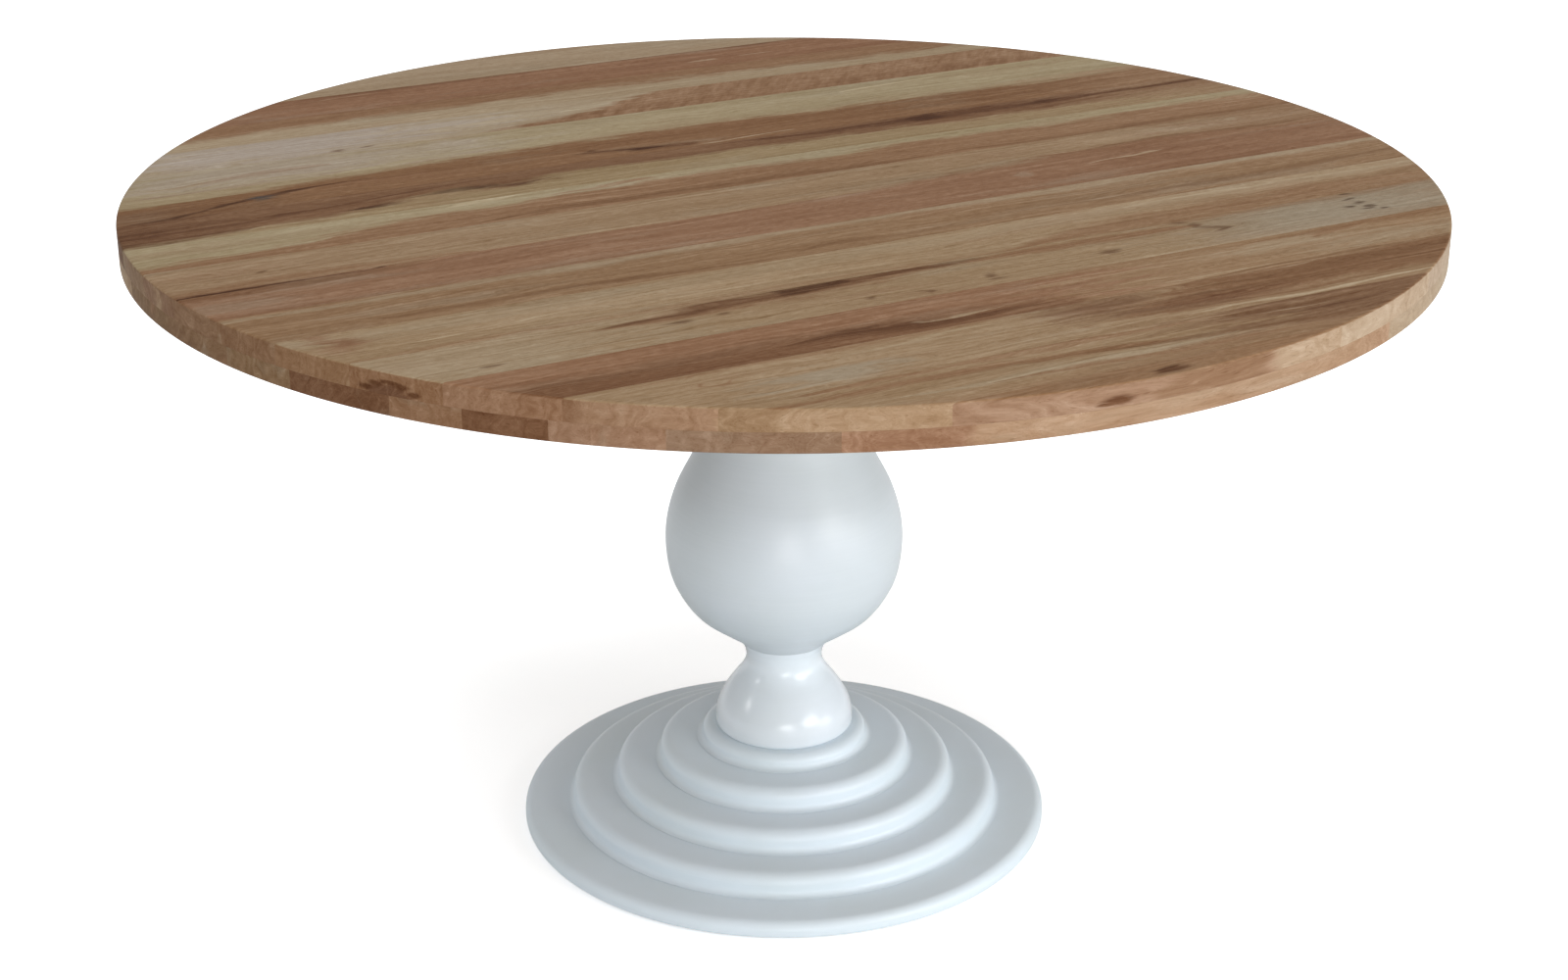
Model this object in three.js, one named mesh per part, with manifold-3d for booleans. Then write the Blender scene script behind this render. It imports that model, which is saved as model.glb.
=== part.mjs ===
// Round pedestal dining table, 1400 mm across and 760 mm high.
//
// The top is two layers of edge-glued boards, kept flat by two battens across the grain.
// A steel plate joins it to a turned, lacquered column, which stands on a stepped round base.
// One tie rod clamps the column and base together, down to a steel plate inside the base.
// Four levelling feet screw into that plate.
//
// Millimetres, +Z up. The origin is on the floor, on the column's axis.

import * as THREE from 'three';
import { mergeVertices } from 'three/addons/utils/BufferGeometryUtils.js';
import Module from 'manifold-3d';

const wasm = await Module();
wasm.setup();

// ---- driving dimensions ----

const TABLE_HEIGHT = 760;
const TOP_RADIUS = 700;
const GAP = 0.3;                  // left between pieces that touch

// The two glued layers of the top.
const TOP_LAYER = 21;
const UNDER_LAYER = 19.7;
const EDGE_CHAMFER = 2;
const GRAIN_ANGLE = 29;           // degrees from +X to the boards' length
const TOP_JOINT_FIRST = -668;     // first glue line, measured across the grain
const TOP_BOARD_WIDTH = 84.3;
const TOP_BOARDS = 17;
const UNDER_JOINTS = [-634, -558, -490, -429, -368, -263, -175, -60, 60, 180, 300, 420, 540];

const TOP_LAYER_BOTTOM = TABLE_HEIGHT - TOP_LAYER;
const UNDER_LAYER_TOP = TOP_LAYER_BOTTOM - GAP;
const TOP_UNDERSIDE = UNDER_LAYER_TOP - UNDER_LAYER;

// Battens across the grain. A screw's tip is its height above the floor.
const BATTEN = { length: 1000, width: 60, height: 22, offset: 330, taper: 90, endHeight: 10 };
const BATTEN_BOTTOM = TOP_UNDERSIDE - GAP - BATTEN.height;
const BATTEN_POCKET = 7;          // depth of the holes that sink the screws' heads
const BATTEN_SCREWS = [-395, 0, 395];
const BATTEN_SCREW = { radius: 2.6, tip: 735, headRadius: 5.5, headHeight: 3.4 };

// Steel plate between the top and the column.
const PLATE = { side: 280, thickness: 6, screwOffset: 115, bossRadius: 15, bossHeight: 20 };
const PLATE_BOTTOM = TOP_UNDERSIDE - GAP - PLATE.thickness;
const PLATE_SCREW = { radius: 3.5, tip: 748, headRadius: 7, headHeight: 4.4 };

// Stepped base: five glued discs, from the top step down to the brim.
const BASE_CLEARANCE = 3;         // between the brim and the floor
const BASE_STEPS = [
  { name: 'base_step_1', radius: 95, bottom: 95, top: 112, nose: 11 },
  { name: 'base_step_2', radius: 144, bottom: 70, top: 95, nose: 13 },
  { name: 'base_step_3', radius: 194, bottom: 45, top: 70, nose: 13 },
  { name: 'base_step_4', radius: 246, bottom: 20, top: 45, nose: 13 },
  { name: 'base_brim', radius: 304, bottom: BASE_CLEARANCE, top: 20, nose: 11 },
];
const COVE = 7;                   // hollow where a riser meets the tread below
const BASE_TOP = BASE_STEPS[0].top;

// Column: a bell below, a pear-shaped bulb above.
const BELL_BOTTOM = BASE_TOP + GAP;
const BULB_BOTTOM = 218.5;
const BULB_TOP = PLATE_BOTTOM - GAP;
const BELL_TENON = { radius: 26, length: 20 };
const BULB_TENON = { radius: 20, length: 22 };

// Tie rod and the steel plate inside the base.
const ROD_RADIUS = 6;
const ROD_BORE = 7.5;
const BASE_PLATE = { radius: 230, thickness: 6 };
const BRIM_ACCESS = 45;           // hole in the brim that reaches the tie rod's nut
const WASHER = { radius: 20, thickness: 2.5 };
const NUT = { flats: 18, height: 10.8 };

// Levelling feet.
const FOOT = { count: 4, circle: 205, padRadius: 20, padHeight: 8, stemRadius: 5, stemTop: 38 };
const FOOT_PLAY = 1.5;            // clearance around a foot in the wooden discs

// ---- finishes ----

const finish = (color, roughness, metalness = 0) => ({ color, roughness, metalness });
const WOOD = {
  pale: finish(0xb9a07c, 0.55),
  tan: finish(0xa5835c, 0.55),
  red: finish(0x94694a, 0.55),
  dark: finish(0x6f4c36, 0.55),
};
const LACQUER = finish(0xdfe6ec, 0.3);
const BLACK_STEEL = finish(0x2b2c2e, 0.5, 0.6);
const ZINC_STEEL = finish(0xb4b8ba, 0.35, 0.9);
const FOOT_PLASTIC = finish(0x26272a, 0.6);

// The boards' tones, from the front-right edge to the back-left edge.
const TOP_TONES = [
  'red', 'tan', 'tan', 'red', 'pale', 'pale', 'tan', 'red', 'pale',
  'red', 'dark', 'red', 'pale', 'tan', 'tan', 'red', 'pale',
];
const UNDER_TONES = [
  'pale', 'tan', 'pale', 'red', 'tan', 'red', 'pale',
  'red', 'pale', 'tan', 'red', 'tan', 'pale', 'tan',
];

// ---- solids ----

const table = new THREE.Group();
table.name = 'round_pedestal_table';

function solid(geometry) {
  const bare = geometry.clone();
  bare.deleteAttribute('normal');
  bare.deleteAttribute('uv');
  const merged = mergeVertices(bare, 1e-4);
  return new wasm.Manifold(new wasm.Mesh({
    numProp: 3,
    vertProperties: new Float32Array(merged.attributes.position.array),
    triVerts: new Uint32Array(merged.index.array),
  }));
}

function add(name, shape, look) {
  const mesh = shape.getMesh();
  const geometry = new THREE.BufferGeometry();
  geometry.setAttribute('position', new THREE.BufferAttribute(mesh.vertProperties, 3));
  geometry.setIndex(new THREE.BufferAttribute(mesh.triVerts, 1));
  geometry.computeVertexNormals();
  const material = new THREE.MeshStandardMaterial(look);
  const part = new THREE.Mesh(geometry, material);
  part.name = name;
  table.add(part);
}

// A solid of revolution about +Z from [radius, height] points, counterclockwise.
function turned(points, segments) {
  const closed = [...points, points[0]];
  const profile = closed.map(([radius, height]) => new THREE.Vector2(radius, height));
  return solid(new THREE.LatheGeometry(profile, segments).rotateX(Math.PI / 2));
}

function cylinder(radius, bottom, top, x = 0, y = 0, segments = 20) {
  const geometry = new THREE.CylinderGeometry(radius, radius, top - bottom, segments);
  geometry.rotateX(Math.PI / 2);
  geometry.translate(x, y, (bottom + top) / 2);
  return solid(geometry);
}

function box(width, depth, height, x, y, bottom) {
  const geometry = new THREE.BoxGeometry(width, depth, height);
  geometry.translate(x, y, bottom + height / 2);
  return solid(geometry);
}

const subtractAll = (shape, cuts) => cuts.reduce((left, cut) => left.subtract(cut), shape);

// Points of an arc about [cx, cz], in degrees, both ends included.
function arc(cx, cz, radius, from, to, steps) {
  const points = [];
  for (let i = 0; i <= steps; i += 1) {
    const angle = THREE.MathUtils.degToRad(from + ((to - from) * i) / steps);
    points.push([cx + radius * Math.cos(angle), cz + radius * Math.sin(angle)]);
  }
  return points;
}

// A smooth outline through [radius, height] points.
function flowing(points, steps) {
  const curve = new THREE.SplineCurve(points.map(([x, y]) => new THREE.Vector2(x, y)));
  return curve.getSpacedPoints(steps).map((point) => [point.x, point.y]);
}

// Turns a shape laid out along and across the grain to its place in the table.
const alongGrain = (shape) => shape.rotate([0, 0, GRAIN_ANGLE]);

// ---- the top ----

const plateScrewPlaces = [-1, 1].flatMap((i) => [-1, 1].map((j) => [
  i * PLATE.screwOffset,
  j * PLATE.screwOffset,
]));
const battenScrewPlaces = [-1, 1].flatMap((side) => BATTEN_SCREWS.map((across) => [
  side * BATTEN.offset,
  across,
]));

// A pilot hole from below the top up to just past a screw's tip.
const pilotHole = ({ radius, tip }, [x, y]) => cylinder(radius + GAP, PLATE_BOTTOM, tip + 0.5, x, y, 16);
const pilotHoles = [
  ...plateScrewPlaces.map((place) => pilotHole(PLATE_SCREW, place)),
  ...battenScrewPlaces.map((place) => pilotHole(BATTEN_SCREW, place)),
];

// A layer's disc, chamfered at the top edge or at the bottom edge, with its pilot holes.
function layerDisc(bottom, top, chamferTop, chamferBottom) {
  const disc = turned([
    [0, bottom],
    [TOP_RADIUS - chamferBottom, bottom],
    ...(chamferBottom ? [[TOP_RADIUS, bottom + chamferBottom]] : []),
    [TOP_RADIUS, top - chamferTop],
    ...(chamferTop ? [[TOP_RADIUS - chamferTop, top]] : []),
    [0, top],
  ], 120);
  return subtractAll(disc.rotate([0, 0, -GRAIN_ANGLE]), pilotHoles);
}

// Saws a layer along its glue lines and names each board.
function addBoards(prefix, layer, bottom, thickness, joints, tones) {
  const edges = [-TOP_RADIUS - 5, ...joints, TOP_RADIUS + 5];
  tones.forEach((tone, i) => {
    const from = edges[i] + GAP / 2;
    const width = edges[i + 1] - GAP / 2 - from;
    const strip = box(2 * TOP_RADIUS + 20, width, thickness + 2, 0, from + width / 2, bottom - 1);
    const name = `${prefix}_${String(i + 1).padStart(2, '0')}`;
    add(name, alongGrain(layer.intersect(strip)), WOOD[tone]);
  });
}

function addTop() {
  const topJoints = Array.from({ length: TOP_BOARDS - 1 }, (_, i) => TOP_JOINT_FIRST + i * TOP_BOARD_WIDTH);
  const topDisc = layerDisc(TOP_LAYER_BOTTOM, TABLE_HEIGHT, EDGE_CHAMFER, 0);
  const underDisc = layerDisc(TOP_UNDERSIDE, UNDER_LAYER_TOP, 0, EDGE_CHAMFER);
  addBoards('top_board', topDisc, TOP_LAYER_BOTTOM, TOP_LAYER, topJoints, TOP_TONES);
  addBoards('under_board', underDisc, TOP_UNDERSIDE, UNDER_LAYER, UNDER_JOINTS, UNDER_TONES);
}

// A screw with a round head below and a plain shank up to its tip.
function screw(size, headTop, [x, y]) {
  const head = cylinder(size.headRadius, headTop - size.headHeight, headTop, x, y, 16);
  const shank = cylinder(size.radius, headTop - 1, size.tip, x, y, 12);
  return alongGrain(head.add(shank));
}

// One batten across the grain, its ends sloping up to the boards.
function batten(side) {
  const half = BATTEN.length / 2;
  const outline = new THREE.Shape([
    [-half, BATTEN.height - BATTEN.endHeight],
    [-half + BATTEN.taper, 0],
    [half - BATTEN.taper, 0],
    [half, BATTEN.height - BATTEN.endHeight],
    [half, BATTEN.height],
    [-half, BATTEN.height],
  ].map(([x, y]) => new THREE.Vector2(x, y)));
  const bar = new THREE.ExtrudeGeometry(outline, { depth: BATTEN.width, bevelEnabled: false });
  bar.rotateX(Math.PI / 2);
  bar.translate(0, BATTEN.width / 2, BATTEN_BOTTOM);
  bar.rotateZ(Math.PI / 2);
  bar.translate(side * BATTEN.offset, 0, 0);
  const x = side * BATTEN.offset;
  const below = BATTEN_BOTTOM - 1;
  const holes = BATTEN_SCREWS.flatMap((y) => [
    cylinder(BATTEN_SCREW.radius + GAP, below, TOP_UNDERSIDE + 1, x, y, 16),
    cylinder(BATTEN_SCREW.headRadius + 1, below, BATTEN_BOTTOM + BATTEN_POCKET, x, y, 20),
  ]);
  return subtractAll(solid(bar), holes);
}

function addBattens() {
  add('batten_left', alongGrain(batten(-1)), WOOD.tan);
  add('batten_right', alongGrain(batten(1)), WOOD.tan);
  const headTop = BATTEN_BOTTOM + BATTEN_POCKET - GAP;
  battenScrewPlaces.forEach((place, i) => {
    add(`batten_screw_${i + 1}`, screw(BATTEN_SCREW, headTop, place), ZINC_STEEL);
  });
}

// The plate has a threaded boss welded under its middle, which takes the tie rod.
function addTopPlate() {
  const sheet = box(PLATE.side, PLATE.side, PLATE.thickness, 0, 0, PLATE_BOTTOM);
  const boss = cylinder(PLATE.bossRadius, PLATE_BOTTOM - PLATE.bossHeight, PLATE_BOTTOM + 1, 0, 0, 32);
  const thread = cylinder(ROD_RADIUS + GAP, PLATE_BOTTOM - 40, PLATE_BOTTOM + 20, 0, 0, 24);
  const holes = plateScrewPlaces.map(([x, y]) => cylinder(PLATE_SCREW.radius + GAP, 700, 740, x, y, 16));
  add('top_plate', alongGrain(subtractAll(sheet.add(boss), [thread, ...holes])), BLACK_STEEL);
  plateScrewPlaces.forEach((place, i) => {
    add(`top_plate_screw_${i + 1}`, screw(PLATE_SCREW, PLATE_BOTTOM - GAP, place), ZINC_STEEL);
  });
}

// ---- the column ----

function addColumn() {
  const bulbOutline = flowing([
    [50, BULB_BOTTOM], [61.2, 228.5], [82.6, 244], [105, 262], [121.4, 286], [130.6, 310],
    [134.3, 342], [132, 372], [122.4, 405], [107, 436], [89.5, 468], [74, 502],
    [64, 540], [59, 580], [59, 615], [63, 648], [72, 676], [84, 694],
  ], 18);
  const bulb = turned([
    [ROD_BORE, BULB_BOTTOM - BULB_TENON.length],
    [BULB_TENON.radius, BULB_BOTTOM - BULB_TENON.length],
    [BULB_TENON.radius, BULB_BOTTOM],
    ...bulbOutline,
    [86, 697],
    [86, BULB_TOP],
    [PLATE.bossRadius + 1, BULB_TOP],
    [PLATE.bossRadius + 1, BULB_TOP - PLATE.bossHeight - 1],
    [ROD_BORE, BULB_TOP - PLATE.bossHeight - 1],
  ], 40);
  const bellTop = BULB_BOTTOM - GAP;
  const bellOutline = flowing([
    [77.2, BELL_BOTTOM], [79, 115.5], [79.2, 121], [78.2, 131], [74.2, 143.5], [67, 156.5],
    [58.3, 169], [50, 180], [44.8, 190.5], [43.6, 199], [45, 207.5], [47.4, 213.5], [49.8, bellTop],
  ], 12);
  const bell = turned([
    [ROD_BORE, BELL_BOTTOM - BELL_TENON.length],
    [BELL_TENON.radius, BELL_BOTTOM - BELL_TENON.length],
    [BELL_TENON.radius, BELL_BOTTOM],
    ...bellOutline,
    [BULB_TENON.radius + GAP, bellTop],
    [BULB_TENON.radius + GAP, BULB_BOTTOM - BULB_TENON.length - GAP],
    [ROD_BORE, BULB_BOTTOM - BULB_TENON.length - GAP],
  ], 40);
  add('column_bulb', bulb, LACQUER);
  add('column_bell', bell, LACQUER);
}

// ---- the base ----

const footPlaces = Array.from({ length: FOOT.count }, (_, i) => {
  const angle = THREE.MathUtils.degToRad(45 + (360 * i) / FOOT.count);
  return [FOOT.circle * Math.cos(angle), FOOT.circle * Math.sin(angle)];
});

// A glued disc: cove at its foot, upright riser, rounded nose, flat tread.
function baseStep({ radius, bottom, top, nose }, bore, hasCove) {
  const foot = hasCove ? [
    [radius + COVE, bottom + GAP],
    [radius + COVE, bottom + GAP + 0.5],
    ...arc(radius + COVE, bottom + GAP + 0.5 + COVE, COVE, 270, 180, 2).slice(1),
  ] : [[radius - 2, bottom], [radius, bottom + 2]];
  return turned([
    [bore, hasCove ? bottom + GAP : bottom],
    ...foot,
    ...arc(radius - nose, top - nose, nose, 0, 90, 3),
    [bore, top],
  ], 48);
}

function addBase() {
  const stemRadius = FOOT.stemRadius + FOOT_PLAY;
  const padRadius = FOOT.padRadius + FOOT_PLAY;
  const stemHoles = footPlaces.map(([x, y]) => cylinder(stemRadius, 0, FOOT.stemTop + 2, x, y, 16));
  const padPockets = footPlaces.map(([x, y]) => cylinder(padRadius, 0, FOOT.padHeight + GAP, x, y, 20));
  const plateBottom = BASE_STEPS[3].bottom + GAP;
  const plateTop = plateBottom + BASE_PLATE.thickness;
  const plateRecess = cylinder(BASE_PLATE.radius + 1, 0, plateTop + GAP, 0, 0, 48);
  const socketBottom = BELL_BOTTOM - BELL_TENON.length - GAP;
  const tenonSocket = cylinder(BELL_TENON.radius + GAP, socketBottom, BASE_TOP + 1, 0, 0, 32);
  const cuts = {
    base_step_1: [tenonSocket],
    base_step_2: [tenonSocket],
    base_step_3: [],
    base_step_4: [plateRecess, ...stemHoles],
    base_brim: [...stemHoles, ...padPockets],
  };
  BASE_STEPS.forEach((step) => {
    const isBrim = step.name === 'base_brim';
    const disc = baseStep(step, isBrim ? BRIM_ACCESS : ROD_BORE, !isBrim);
    add(step.name, subtractAll(disc, cuts[step.name]), LACQUER);
  });

  const plate = cylinder(BASE_PLATE.radius, plateBottom, plateTop, 0, 0, 48);
  const rodHole = cylinder(ROD_RADIUS + 1, 0, 60, 0, 0, 24);
  const threads = footPlaces.map(([x, y]) => cylinder(FOOT.stemRadius + GAP, 0, 60, x, y, 16));
  add('base_plate', subtractAll(plate, [rodHole, ...threads]), BLACK_STEEL);
}

function addTieRod() {
  const washerTop = BASE_STEPS[3].bottom;
  const nutTop = washerTop - WASHER.thickness - GAP;
  const nutBottom = nutTop - NUT.height;
  const rodHole = cylinder(ROD_RADIUS + GAP, 0, 40, 0, 0, 24);
  const washer = cylinder(WASHER.radius, washerTop - WASHER.thickness, washerTop, 0, 0, 32);
  const nut = cylinder(NUT.flats / Math.sqrt(3), nutBottom, nutTop, 0, 0, 6);
  add('tie_rod', cylinder(ROD_RADIUS, nutBottom - 0.5, PLATE_BOTTOM + 3, 0, 0, 20), ZINC_STEEL);
  add('tie_rod_washer', washer.subtract(rodHole), ZINC_STEEL);
  add('tie_rod_nut', nut.subtract(rodHole), ZINC_STEEL);
}

// A foot is a round pad on a threaded stem, screwed up into the base plate.
function addFeet() {
  footPlaces.forEach(([x, y], i) => {
    const foot = turned([
      [0, 0],
      [FOOT.padRadius - 1.5, 0],
      [FOOT.padRadius, 1.5],
      [FOOT.padRadius - 3, FOOT.padHeight],
      [FOOT.stemRadius, FOOT.padHeight],
      [FOOT.stemRadius, FOOT.stemTop - 1],
      [FOOT.stemRadius - 1, FOOT.stemTop],
      [0, FOOT.stemTop],
    ], 16);
    add(`levelling_foot_${i + 1}`, foot.translate([x, y, 0]), FOOT_PLASTIC);
  });
}

addTop();
addBattens();
addTopPlate();
addColumn();
addBase();
addTieRod();
addFeet();

export default table;
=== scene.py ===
import math
from collections import namedtuple

import bmesh
import bpy
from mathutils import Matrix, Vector


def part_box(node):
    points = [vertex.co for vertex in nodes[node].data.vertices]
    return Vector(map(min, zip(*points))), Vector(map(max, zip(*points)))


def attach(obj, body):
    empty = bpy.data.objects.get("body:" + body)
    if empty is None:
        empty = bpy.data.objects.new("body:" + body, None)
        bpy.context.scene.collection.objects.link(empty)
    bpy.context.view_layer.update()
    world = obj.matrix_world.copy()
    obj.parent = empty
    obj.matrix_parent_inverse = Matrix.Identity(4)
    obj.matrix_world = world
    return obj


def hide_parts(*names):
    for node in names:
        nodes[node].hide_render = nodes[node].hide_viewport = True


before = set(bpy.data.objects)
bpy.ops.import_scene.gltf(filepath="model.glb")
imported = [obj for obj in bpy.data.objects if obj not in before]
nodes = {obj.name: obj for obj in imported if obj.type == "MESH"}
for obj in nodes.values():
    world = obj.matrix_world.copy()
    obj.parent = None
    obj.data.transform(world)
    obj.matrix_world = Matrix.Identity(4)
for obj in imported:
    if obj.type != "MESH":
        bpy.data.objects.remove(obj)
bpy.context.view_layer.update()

# Round pedestal table: the looks of the top, its fittings, the turned column and the stepped base.
# Lengths are in millimetres in the tables below and in metres once they reach Blender.

MM = 0.001
WELD = 1e-6  # points closer than this become one, in metres
GRAIN = math.radians(29)  # from +X to the boards' length


# ---------------- meshes

def add_object(name, data):
    made = bpy.data.objects.new(name, data)
    bpy.context.scene.collection.objects.link(made)
    return made


def solid_mesh(name, bm):
    """The mesh of a bmesh that encloses a solid, which is freed."""
    mesh = bpy.data.meshes.new(name)
    bmesh.ops.recalc_face_normals(bm, faces=bm.faces)
    bm.to_mesh(mesh)
    bm.free()
    return mesh


def piece(name, replaced, body, bm, material, crease=35):
    """Makes a shown piece from a bmesh, in the row frame, on a body, and hides the node it stands for."""
    mesh = solid_mesh(name, bm)
    mesh.shade_smooth()
    mesh.set_sharp_from_angle(angle=math.radians(crease))
    mesh.materials.append(material)
    made = add_object(name, mesh)
    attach(made, body)
    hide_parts(replaced)


def table_piece(node, finish, bm, material, crease=35):
    """The shown piece for a node of the table's body, named by its finish."""
    piece(f"{node}_{finish}", node, "table", bm, material, crease)


def eased(points, steps=4):
    """An outline with rounded corners, from (x, z, corner radius) points in order."""
    outline = []
    count = len(points)
    for i, (x, z, radius) in enumerate(points):
        here = Vector((x, z))
        if not radius:
            outline.append((x, z))
            continue
        before = Vector(points[i - 1][:2]) - here
        after = Vector(points[(i + 1) % count][:2]) - here
        before.normalize()
        after.normalize()
        half = before.angle(after) / 2
        reach = radius / math.tan(half)
        centre = here + (before + after).normalized() * (radius / math.sin(half))
        start = here + before * reach - centre
        turn = start.angle_signed(here + after * reach - centre)
        for k in range(steps + 1):
            angle = -turn * k / steps
            spoke = Vector((
                start.x * math.cos(angle) - start.y * math.sin(angle),
                start.x * math.sin(angle) + start.y * math.cos(angle),
            ))
            outline.append(tuple(centre + spoke))
    return outline


def flowing(points, steps=6):
    """A smooth outline through (x, z) points."""
    ends = [points[0]] + list(points) + [points[-1]]
    outline = []
    for a, b, c, d in zip(ends, ends[1:], ends[2:], ends[3:]):
        for k in range(steps):
            t = k / steps
            outline.append(tuple(
                0.5 * (2 * q + (r - p) * t + (2 * p - 5 * q + 4 * r - s) * t * t
                       + (3 * q - p - 3 * r + s) * t ** 3)
                for p, q, r, s in zip(a, b, c, d)
            ))
    outline.append(tuple(points[-1]))
    return outline


def hexagon(angle):
    """How far a hexagon's side lies beyond its inner circle at an angle."""
    return 1 / math.cos((angle + math.pi / 6) % (math.pi / 3) - math.pi / 6)


def ring_of(bm, centre, height, radii):
    """A ring of points about a centre in mm, with its radius at each of its equal turns."""
    turn = 2 * math.pi / len(radii)
    return [
        bm.verts.new((
            (centre[0] + r * math.cos(turn * k)) * MM,
            (centre[1] + r * math.sin(turn * k)) * MM,
            height * MM,
        ))
        for k, r in enumerate(radii)
    ]


def skin(bm, rings):
    """Faces from each ring of points to the next, where a ring may be one point repeated."""
    for low, high in zip(rings, rings[1:]):
        for k in range(len(low)):
            j = (k + 1) % len(low)
            corners = list(dict.fromkeys((low[k], low[j], high[j], high[k])))
            if len(corners) > 2:
                bm.faces.new(corners)


def capped_skin(bm, rings):
    skin(bm, rings)
    bm.faces.new(list(reversed(rings[0])))
    bm.faces.new(rings[-1])


def turned(outline, segments, centre=(0, 0), bm=None):
    """A solid of revolution in mm from (radius, height) or (radius, height, shape) points."""
    bm = bm or bmesh.new()
    rings = []
    for radius, height, *shape in outline:
        if radius < 1e-6:
            pole = bm.verts.new((centre[0] * MM, centre[1] * MM, height * MM))
            rings.append([pole] * segments)
            continue
        radii = [
            radius * (shape[0](2 * math.pi * k / segments) if shape else 1) for k in range(segments)
        ]
        rings.append(ring_of(bm, centre, height, radii))
    if outline[0][0] > 1e-6:
        rings.append(rings[0])
    skin(bm, rings)
    return bm


def threaded(radius, bottom, top, pitch, depth, centre, segments=24, chamfer=1.4):
    """A threaded stem with chamfered ends, in mm."""
    bm = bmesh.new()
    rings_per_turn = 6
    count = round((top - bottom) / pitch * rings_per_turn)
    rings = []
    for i in range(count + 1):
        height = bottom + (top - bottom) * i / count
        end = min(height - bottom, top - height)
        radii = []
        for k in range(segments):
            turn = ((height - bottom) / pitch - k / segments) % 1
            groove = depth * (1 - abs(2 * turn - 1))
            radii.append(min(radius - groove, radius - chamfer + end))
        rings.append(ring_of(bm, centre, height, radii))
    capped_skin(bm, rings)
    return bm


def bored(solid, cutter):
    """One bmesh with another cut out of it."""
    objects = [add_object("boring", solid_mesh("boring", bm)) for bm in (solid, cutter)]
    cut = objects[0].modifiers.new("cut", "BOOLEAN")
    cut.operation = "DIFFERENCE"
    cut.solver = "EXACT"
    cut.object = objects[1]
    shaped = objects[0].evaluated_get(bpy.context.evaluated_depsgraph_get())
    result = bmesh.new()
    result.from_mesh(shaped.to_mesh())
    shaped.to_mesh_clear()
    for made in objects:
        mesh = made.data
        bpy.data.objects.remove(made)
        bpy.data.meshes.remove(mesh)
    return result


def softened(node, width, segments=2):
    """The CAD node's own solid with its sharp edges eased, as a bmesh."""
    bm = bmesh.new()
    bm.from_mesh(nodes[node].data)
    bmesh.ops.remove_doubles(bm, verts=bm.verts, dist=WELD)
    bmesh.ops.dissolve_limit(
        bm, angle_limit=math.radians(1), verts=bm.verts, edges=bm.edges
    )
    sharp = [
        e for e in bm.edges if len(e.link_faces) == 2 and e.calc_face_angle() > math.radians(50)
    ]
    bmesh.ops.bevel(
        bm, geom=sharp, offset=width * MM, offset_type="OFFSET", segments=segments,
        profile=0.5, affect="EDGES", clamp_overlap=True,
    )
    return bm


def heights(node):
    """A node's lowest and highest points at rest, in mm."""
    low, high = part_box(node)
    return low.z / MM, high.z / MM


def middle_of(node):
    """The middle of a node's box at rest, in mm."""
    low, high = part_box(node)
    return (low.x + high.x) / 2 / MM, (low.y + high.y) / 2 / MM


def grain_span(node):
    """How far a node reaches across the grain, in mm."""
    across = [
        v.co.y * math.cos(GRAIN) - v.co.x * math.sin(GRAIN) for v in nodes[node].data.vertices
    ]
    return min(across) / MM, max(across) / MM


def board_mesh(low, high, levels):
    """A board: the strip between two glue lines, cut to a circle at each (radius, height) level."""
    bm = bmesh.new()
    widest = max(radius for radius, _ in levels)
    sweep = math.asin(min(high / widest, 1)) - math.asin(max(low / widest, -1))
    steps = max(6, round(math.degrees(sweep) * 2))
    rings = []
    for radius, height in levels:
        start = math.asin(max(low / radius, -1))
        end = math.asin(min(high / radius, 1))
        right = [start + (end - start) * i / steps for i in range(steps + 1)]
        angles = right + [math.pi - a for a in reversed(right)]
        rings.append([
            bm.verts.new((
                radius * math.cos(a + GRAIN) * MM, radius * math.sin(a + GRAIN) * MM, height * MM
            ))
            for a in angles
        ])
    capped_skin(bm, rings)
    bmesh.ops.remove_doubles(bm, verts=bm.verts, dist=WELD)
    return bm


# ---------------- shader nodes

def linear(colour, gain=1.0, sheen=(0, 0, 0)):
    """A screen colour, 0 to 255, as a linear colour times gain, less the sheen that light adds to it."""
    made = []
    for c, veil in zip(colour, sheen):
        c /= 255
        c = c / 12.92 if c <= 0.04045 else ((c + 0.055) / 1.055) ** 2.4
        made.append(max(min(c * gain - veil, 1.0), 0.002))
    return (*made, 1.0)


CURVE_REACH = 700  # mm from the middle that a curve node spans, along and across


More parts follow.
